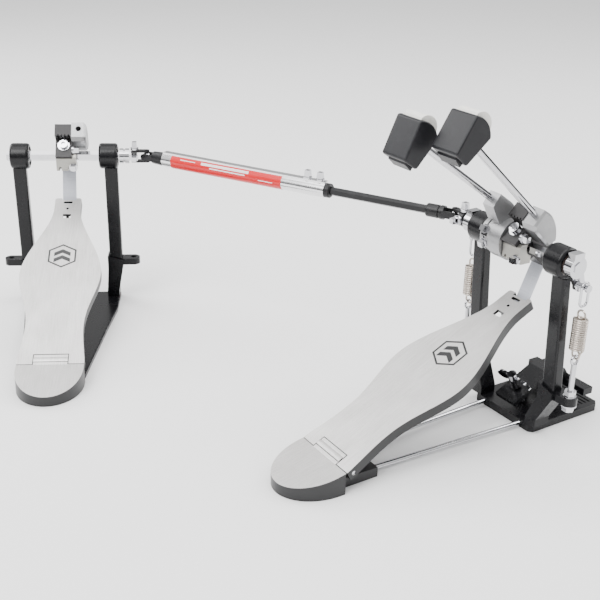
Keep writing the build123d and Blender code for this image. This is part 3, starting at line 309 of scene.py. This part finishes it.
def coated_metal(name, dark, scuffed, roughness, scale=1400.0, strength=0.12, metallic=0.0, gloss=0.5):
    """Paint or plating over a casting, with fine relief and sparse dull scuffs."""
    finish = Finish(name, dark, metallic, roughness)
    finish.shader.inputs["Specular IOR Level"].default_value = gloss
    marks = finish.effect(handling_marks, Scale=70.0, Amount=0.5)
    relief = finish.effect(fine_relief, Scale=scale, Strength=strength, Depth=RELIEF_DEPTH)
    finish.wire("Base Color", finish.color_mix(marks.outputs["Mask"], dark, scuffed))
    finish.wire("Roughness", finish.value_mix(marks.outputs["Mask"], roughness, min(roughness + 0.2, 1)))
    finish.wire("Normal", relief.outputs["Normal"])
    return finish.material


def chrome_plate():
    """Bright chrome with faint polishing haze."""
    bright = (0.62, 0.62, 0.64)
    hazy = (0.5, 0.5, 0.52)
    finish = Finish("chrome", bright, 1.0, 0.07)
    haze = finish.effect(handling_marks, Scale=45.0, Amount=1.0)
    relief = finish.effect(fine_relief, Scale=260.0, Strength=0.05, Depth=RELIEF_DEPTH)
    finish.wire("Base Color", finish.color_mix(haze.outputs["Mask"], bright, hazy))
    finish.wire("Roughness", finish.value_mix(haze.outputs["Mask"], 0.06, 0.2))
    finish.wire("Normal", relief.outputs["Normal"])
    return finish.material


def brushed_plate(name, angle):
    """Brushed plate on top, black paint on the sides and below."""
    finish = Finish(name, (0.6, 0.6, 0.6), 1.0, 0.35)
    along = finish.turned(angle)
    lines = finish.effect(brush_lines, along, Stretch=(1700.0, 38.0, 60.0))
    cloud = finish.effect(brush_lines, along, Stretch=(46.0, 30.0, 30.0))
    grit = finish.effect(fine_relief, along, Scale=1300.0, Strength=0.3, Depth=0.0001)
    top = finish.effect(upward_mask, Height=0.0100).outputs["Mask"]
    blend = finish.math("ADD", finish.math("MULTIPLY", lines.outputs["Value"], 0.6),
                        finish.math("MULTIPLY", cloud.outputs["Value"], 0.4))
    speck = finish.math("ADD", finish.math("MULTIPLY", blend, 0.6),
                        finish.math("MULTIPLY", grit.outputs["Value"], 0.4))
    contrast = finish.tree.nodes.new("ShaderNodeMapRange")
    contrast.inputs["From Min"].default_value = 0.36
    contrast.inputs["From Max"].default_value = 0.64
    finish.link(speck, contrast.inputs["Value"])
    steel = finish.color_mix(contrast.outputs["Result"], (0.50, 0.49, 0.48), (0.74, 0.73, 0.72))
    finish.wire("Base Color", finish.color_mix(top, (0.006, 0.006, 0.007), steel))
    finish.wire("Metallic", finish.math("MULTIPLY", top, 0.75))
    steel_roughness = finish.value_mix(contrast.outputs["Result"], 0.48, 0.36)
    finish.wire("Roughness", finish.value_mix(top, 0.34, steel_roughness))
    bump = finish.tree.nodes.new("ShaderNodeBump")
    bump.inputs["Strength"].default_value = 0.12
    bump.inputs["Distance"].default_value = 0.0001
    finish.link(lines.outputs["Value"], bump.inputs["Height"])
    finish.wire("Normal", bump.outputs["Normal"])
    return finish.material


def bare_alloy(name, color, roughness, metallic, stretch=(60.0, 900.0, 900.0), angle=0.0):
    """Machined or polished alloy with tool lines around it."""
    finish = Finish(name, color, metallic, roughness)
    lines = finish.effect(brush_lines, finish.turned(angle), Stretch=stretch)
    relief = finish.effect(fine_relief, Scale=700.0, Strength=0.1, Depth=RELIEF_DEPTH)
    worn = tuple(channel * 0.8 for channel in color)
    finish.wire("Base Color", finish.color_mix(lines.outputs["Value"], worn, color))
    finish.wire("Roughness", finish.value_mix(lines.outputs["Value"], roughness + 0.1, roughness - 0.03))
    finish.wire("Normal", relief.outputs["Normal"])
    return finish.material


def pressed_felt():
    """Pale felt: fibres standing out of a dense pad."""
    finish = Finish("pressed_felt", (0.83, 0.82, 0.76), 0.0, 0.95)
    fibres = finish.effect(fine_relief, Scale=1500.0, Strength=0.9, Depth=0.0006)
    clumps = finish.effect(handling_marks, Scale=160.0, Amount=0.8)
    finish.wire("Base Color", finish.color_mix(clumps.outputs["Mask"], (0.86, 0.85, 0.8), (0.7, 0.68, 0.6)))
    finish.wire("Normal", fibres.outputs["Normal"])
    finish.shader.inputs["Sheen Weight"].default_value = 0.4
    finish.shader.inputs["Sheen Roughness"].default_value = 0.5
    return finish.material


def strap_web(name, angle):
    """Woven strap: fine crossing ribs in a pale plastic. The real strap is slightly see-through; this finish
    is opaque.
    """
    finish = Finish(name, (0.62, 0.64, 0.7), 0.0, 0.42)
    along = finish.turned(angle)
    warp = finish.effect(brush_lines, along, Stretch=(2600.0, 60.0, 60.0))
    weft = finish.effect(brush_lines, along, Stretch=(60.0, 1500.0, 1500.0))
    weave = finish.math("ADD", finish.math("MULTIPLY", warp.outputs["Value"], 0.5),
                        finish.math("MULTIPLY", weft.outputs["Value"], 0.5))
    finish.wire("Base Color", finish.color_mix(weave, (0.42, 0.44, 0.5), (0.78, 0.8, 0.86)))
    bump = finish.tree.nodes.new("ShaderNodeBump")
    bump.inputs["Strength"].default_value = 0.35
    bump.inputs["Distance"].default_value = 0.0003
    finish.link(weave, bump.inputs["Height"])
    finish.wire("Normal", bump.outputs["Normal"])
    return finish.material


def label_print(name, color):
    """Printed film: even colour with a faint coated grain."""
    finish = Finish(name, color, 0.0, 0.3)
    marks = finish.effect(handling_marks, Scale=90.0, Amount=0.25)
    relief = finish.effect(fine_relief, Scale=500.0, Strength=0.06, Depth=RELIEF_DEPTH)
    worn = tuple(min(channel * 1.25 + 0.02, 1) for channel in color)
    finish.wire("Base Color", finish.color_mix(marks.outputs["Mask"], color, worn))
    finish.wire("Normal", relief.outputs["Normal"])
    finish.shader.inputs["Coat Weight"].default_value = 0.15
    return finish.material


chrome = chrome_plate()
black_paint = coated_metal(
    "black_powder_coat", (0.004, 0.004, 0.005), (0.014, 0.014, 0.015), 0.26, gloss=0.28,
)
black_oxide = coated_metal(
    "black_oxide", (0.012, 0.012, 0.013), (0.04, 0.04, 0.042), 0.34, metallic=0.2, gloss=0.35,
)
black_plastic = coated_metal(
    "beater_plastic", (0.009, 0.009, 0.011), (0.025, 0.025, 0.028), 0.36, 2200.0, 0.2, gloss=0.3,
)
dark_casting = coated_metal(
    "dark_casting", (0.03, 0.029, 0.03), (0.07, 0.068, 0.07), 0.36, 900.0, 0.2, 0.4, 0.35,
)
grey_casting = coated_metal("grey_casting", (0.33, 0.33, 0.335), (0.46, 0.46, 0.465), 0.32, 800.0, 0.22, 0.7)
satin_alloy = bare_alloy("satin_alloy", (0.4, 0.39, 0.36), 0.3, 0.9)
tube_alloy = bare_alloy("polished_tube", (0.9, 0.9, 0.91), 0.14, 1.0, (30.0, 1200.0, 1200.0), shaft_turn)
bearing_steel = bare_alloy("bearing_steel", (0.42, 0.4, 0.38), 0.3, 1.0)
spring_wire = bare_alloy("spring_wire", (0.6, 0.54, 0.48), 0.24, 1.0)
felt = pressed_felt()
primary_plate = brushed_plate("brushed_plate_primary", 0.0)
aux_plate = brushed_plate("brushed_plate_aux", aux_turn)
primary_strap = strap_web("strap_primary", 0.0)
aux_strap = strap_web("strap_aux", aux_turn)
label_red = label_print("label_red", (0.62, 0.006, 0.012))
label_white = label_print("label_white", (0.85, 0.85, 0.85))
# Black film for the footboard inlays; the same black is also the painted shade in the hinge seams.
inlay_and_seam_shade_black = label_print("inlay_and_seam_shade_black", (0.012, 0.012, 0.013))
seal_rubber = coated_metal("seal_rubber", (0.05, 0.03, 0.025), (0.09, 0.06, 0.05), 0.6)

finish_of_slot = {
    "brushed_plate": primary_plate,
    "black_paint": black_paint,
    "dark_casting": dark_casting,
    "grey_casting": grey_casting,
    "satin_alloy": satin_alloy,
    "felt": felt,
    "black_plastic": black_plastic,
    "strap_web": primary_strap,
    "spring_wire": spring_wire,
    "black_oxide": black_oxide,
    "polished_alloy": tube_alloy,
    "bearing_steel": bearing_steel,
    "chrome": chrome,
}
for part in frame["record"]["subparts"]:
    node = nodes[part["node"]]
    finish = finish_of_slot[part["material_slot"]]
    if part["node"].startswith("aux_") and finish is primary_plate:
        finish = aux_plate
    if part["node"] == "aux_strap":
        finish = aux_strap
    for entry in node.material_slots:
        entry.link = "OBJECT"
        entry.material = finish


# ---- pieces that the frame doesn't hold -----------------------------------------------------
def piece(name, mesh, place, material, body):
    """Object from a bmesh, put in place, given its finish and set to ride on a body."""
    data = bpy.data.meshes.new(name)
    mesh.to_mesh(data)
    mesh.free()
    data.transform(place)
    data.materials.append(material)
    obj = bpy.data.objects.new(name, data)
    bpy.context.scene.collection.objects.link(obj)
    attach(obj, body)
    return obj


def plate_from_outline(outline, thickness):
    """Closed flat plate over an outline in the XY plane, its base at zero height."""
    mesh = bmesh.new()
    face = mesh.faces.new([mesh.verts.new((x, y, 0)) for x, y in outline])
    top = bmesh.ops.extrude_face_region(mesh, geom=[face])
    raised = [item for item in top["geom"] if isinstance(item, bmesh.types.BMVert)]
    bmesh.ops.translate(mesh, verts=raised, vec=(0, 0, thickness))
    bmesh.ops.recalc_face_normals(mesh, faces=mesh.faces)
    return mesh


def swept_band(inner, outer, stations, turn_from, turn_to, width_from, width_to):
    """Closed band about the X axis, between two radii and two angles, from one x to another."""
    mesh = bmesh.new()
    rings = []
    for i in range(stations + 1):
        angle = turn_from + (turn_to - turn_from) * i / stations
        ring = []
        for x, radius in ((width_from, inner), (width_to, inner), (width_to, outer), (width_from, outer)):
            ring.append(mesh.verts.new((x, radius * cos(angle), radius * sin(angle))))
        rings.append(ring)
    for near, far in zip(rings, rings[1:]):
        for k in range(4):
            mesh.faces.new((near[k], near[(k + 1) % 4], far[(k + 1) % 4], far[k]))
    mesh.faces.new(rings[0])
    mesh.faces.new(tuple(reversed(rings[-1])))
    bmesh.ops.recalc_face_normals(mesh, faces=mesh.faces)
    return mesh


def polygon_ring(sides, outer, inner, thickness):
    """Closed flat ring with straight sides."""
    mesh = bmesh.new()
    loops = []
    for radius, z in ((outer, 0), (outer, thickness), (inner, thickness), (inner, 0)):
        loops.append([
            mesh.verts.new((radius * sin(2 * pi * i / sides), radius * cos(2 * pi * i / sides), z))
            for i in range(sides)
        ])
    for near, far in zip(loops, loops[1:] + loops[:1]):
        for i in range(sides):
            j = (i + 1) % sides
            mesh.faces.new((near[i], near[j], far[j], far[i]))
    bmesh.ops.recalc_face_normals(mesh, faces=mesh.faces)
    return mesh


def add_board_mark(prefix, place, body):
    """Generic inlay on a footboard: a hexagonal ring about two chevrons."""
    centre = place @ BOARD @ Matrix.Translation((0, MARK_ALONG, MARK_LIFT))
    piece(f"{prefix}_mark_ring", polygon_ring(MARK_SIDES, MARK_OUTER, MARK_INNER, MARK_PROUD), centre,
          inlay_and_seam_shade_black, body)
    for k, low in enumerate(CHEVRON_LOWS):
        chevron = [(-9, low), (0, low + 5), (9, low), (9, low + 5.4), (0, low + 10.4), (-9, low + 5.4)]
        outline = [(x * MM, y * MM) for x, y in chevron]
        piece(f"{prefix}_mark_chevron_{k + 1}", plate_from_outline(outline, MARK_PROUD), centre,
              inlay_and_seam_shade_black, body)


def add_strap_wrap(prefix, place, body, finish):
    """Stretch of strap that lies on the cam, from its tangent over the drum side."""
    axle = place @ Matrix.Translation((0, 0, AXLE_HEIGHT))
    wrap = swept_band(WRAP_INNER, WRAP_OUTER, 24, WRAP_START, WRAP_END, WRAP_LEFT, WRAP_RIGHT)
    piece(f"{prefix}_strap_wrap", wrap, axle, finish, body)


def add_bearing_seals(prefix, place, body):
    """Dark seals in the faces of the bearings."""
    axle = place @ Matrix.Translation((0, 0, AXLE_HEIGHT))
    for k, x in enumerate(SEAL_FACES):
        seal = swept_band(SEAL_INNER, SEAL_OUTER, 48, 0, 2 * pi - SEAL_END_GAP,
                          (x - SEAL_HALF) * MM, (x + SEAL_HALF) * MM)
        piece(f"{prefix}_bearing_seal_{k + 1}", seal, axle, seal_rubber, body)


def add_tube_label():
    """Red film round the drive tube with plain white bars where the lettering would be."""
    film = swept_band(TUBE_RADIUS, TUBE_RADIUS + FILM, 40, LABEL_START, LABEL_END, LABEL_FROM, LABEL_TO)
    piece("tube_label", film, SHAFT, label_red, "drive_tube_body")
    for k, (start, length, low, high) in enumerate(LABEL_BARS):
        bar = swept_band(TUBE_RADIUS + FILM, TUBE_RADIUS + 2 * FILM, 12, radians(low), radians(high),
                         start * MM, (start + length) * MM)
        piece(f"tube_label_bar_{k + 1}", bar, SHAFT, label_white, "drive_tube_body")


def add_hinge_gap_shade(prefix, place, body):
    """Painted shade in the seam where the heel plate's tongue meets the footboard: thin black strips where
    the gap is shaded.
    """
    seam = 0.9
    edge = 17.7
    ahead = 12.7
    strips = (
        (-edge - seam / 2, -edge + seam / 2, 0.3, ahead + seam / 2),
        (edge - seam / 2, edge + seam / 2, 0.3, ahead + seam / 2),
        (-edge + seam / 2, edge - seam / 2, ahead - seam / 2, ahead + seam / 2),
        (-SEAM_EDGE, -edge - seam / 2, -0.5, 0.5),
        (edge + seam / 2, SEAM_EDGE, -0.5, 0.5),
    )
    # Each strip is painted shade: a black sheet along one stretch of the seam.
    for k, (left, right, rear, front) in enumerate(strips):
        corners = ((left, rear), (right, rear), (right, front), (left, front))
        outline = [(x * MM, y * MM) for x, y in corners]
        piece(f"{prefix}_hinge_gap_shade_{k + 1}", plate_from_outline(outline, SEAM_HEIGHT),
              place @ BOARD @ Matrix.Translation((0, 0, -SEAM_HEIGHT / 2)), inlay_and_seam_shade_black, body)


add_board_mark("primary", PRIMARY, "primary_board")
add_board_mark("aux", AUX, "aux_board")
add_strap_wrap("primary", PRIMARY, "primary_shaft", primary_strap)
add_strap_wrap("aux", AUX, "aux_shaft", aux_strap)
add_bearing_seals("primary", PRIMARY, "root")
add_bearing_seals("aux", AUX, "aux_frame")
add_tube_label()
# Painted shade in the hinge seams of both pedals.
add_hinge_gap_shade("primary", PRIMARY, "root")
add_hinge_gap_shade("aux", AUX, "aux_frame")


# ---- floor, light and camera ----------------------------------------------------------------
def add_floor():
    """Wide pale floor."""
    mesh = bmesh.new()
    bmesh.ops.create_grid(mesh, x_segments=1, y_segments=1, size=FLOOR_SIZE)
    data = bpy.data.meshes.new("floor")
    mesh.to_mesh(data)
    mesh.free()
    floor = bpy.data.objects.new("floor", data)
    floor.location.z = -FLOOR_DROP
    bpy.context.scene.collection.objects.link(floor)
    paper = bpy.data.materials.new("floor_paper")
    paper.use_nodes = True
    paper.node_tree.nodes["Principled BSDF"].inputs["Base Color"].default_value = (0.9, 0.9, 0.9, 1)
    paper.node_tree.nodes["Principled BSDF"].inputs["Roughness"].default_value = 0.9
    data.materials.append(paper)


def add_softbox(name, place, target, size, power):
    """Square area light at place, aimed at target."""
    lamp = bpy.data.lights.new(name, "AREA")
    lamp.size = size
    lamp.energy = power
    obj = bpy.data.objects.new(name, lamp)
    obj.location = place
    obj.rotation_euler = (Vector(target) - Vector(place)).to_track_quat("-Z", "Y").to_euler()
    bpy.context.scene.collection.objects.link(obj)


def add_camera():
    """Camera at the front right, looking down at the pedals."""
    data = bpy.data.cameras.new("camera")
    data.lens = LENS
    data.sensor_width = SENSOR
    camera = bpy.data.objects.new("camera", data)
    turn = (Matrix.Rotation(HEADING, 4, "Z") @ Matrix.Rotation(pi / 2 - DIP, 4, "X")
            @ Matrix.Rotation(ROLL, 4, "Z"))
    camera.matrix_world = Matrix.Translation((CAMERA_X, CAMERA_AHEAD + primary_axis.y, CAMERA_Z)) @ turn
    bpy.context.scene.collection.objects.link(camera)
    bpy.context.scene.camera = camera


def add_studio():
    """Pale surroundings above with a dark band at the horizon, for contrast in bright metal."""
    world = bpy.data.worlds.new("studio")
    world.use_nodes = True
    tree = world.node_tree
    direction = tree.nodes.new("ShaderNodeTexCoord")
    height = tree.nodes.new("ShaderNodeSeparateXYZ")
    ramp = tree.nodes.new("ShaderNodeValToRGB")
    tree.links.new(direction.outputs["Generated"], height.inputs["Vector"])
    tree.links.new(height.outputs["Z"], ramp.inputs["Fac"])
    tree.links.new(ramp.outputs["Color"], tree.nodes["Background"].inputs["Color"])
    ramp.color_ramp.elements[0].position = 0.12
    ramp.color_ramp.elements[0].color = (0.05, 0.05, 0.055, 1)
    ramp.color_ramp.elements[1].position = 0.42
    ramp.color_ramp.elements[1].color = (1, 1, 1, 1)
    tree.nodes["Background"].inputs["Strength"].default_value = 1.15
    bpy.context.scene.world = world


add_floor()
add_softbox("key", (0.2, -1.6, 1.9), LIGHT_TARGET, 1.4, 55)
add_softbox("left_fill", (-1.9, -0.9, 1.2), LIGHT_TARGET, 1.2, 26)
add_softbox("back_rim", (0.3, 1.7, 1.5), LIGHT_TARGET, 1.2, 30)
add_softbox("overhead", (-0.2, -0.1, 2.2), LIGHT_TARGET, 2.0, 40)
add_studio()
add_camera()
